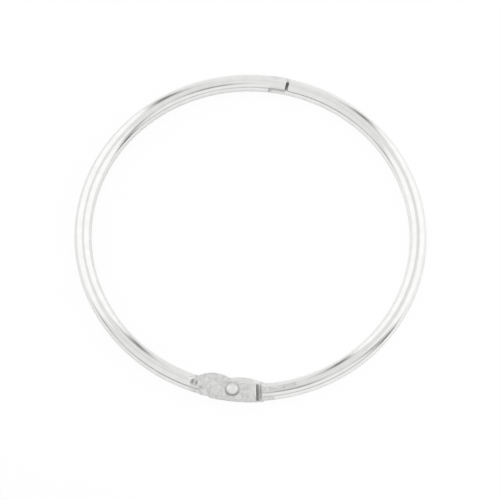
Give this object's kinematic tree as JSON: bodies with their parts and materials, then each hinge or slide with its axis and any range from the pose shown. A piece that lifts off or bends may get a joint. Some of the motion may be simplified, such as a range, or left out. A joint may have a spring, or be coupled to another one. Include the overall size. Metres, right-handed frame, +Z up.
{
  "type": "binder ring",
  "caption": "Hinged loose-leaf ring of bright plated round wire, with half rings riveted at one side and hooked together at the other to hold punched pages.",
  "frame": {"origin": "on the surface that the closed ring lies on, under the centre of the ring", "axes": "+Z up, along the hinge's axis; the rivet is on the -Y side and the hooked closure is near +Y, a little towards +X"},
  "size_m": [0.0762, 0.0762, 0.0037],
  "materials": {
    "plated_wire": "bright nickel plate on drawn steel wire, duller on the pressed leaves",
    "plated_rivet": "bright nickel plate"
  },
  "bodies": {
    "front": {"front_half": "plated_wire", "hinge_rivet": "plated_rivet"},
    "rear": {"rear_half": "plated_wire"}
  },
  "joints": [
    {"name": "ring_hinge", "type": "hinge", "parent": "front", "child": "rear", "pos_m": [0, -0.03625, 0.00185], "axis": [0, 0, -1], "range_deg": [0, 148]}
  ]
}
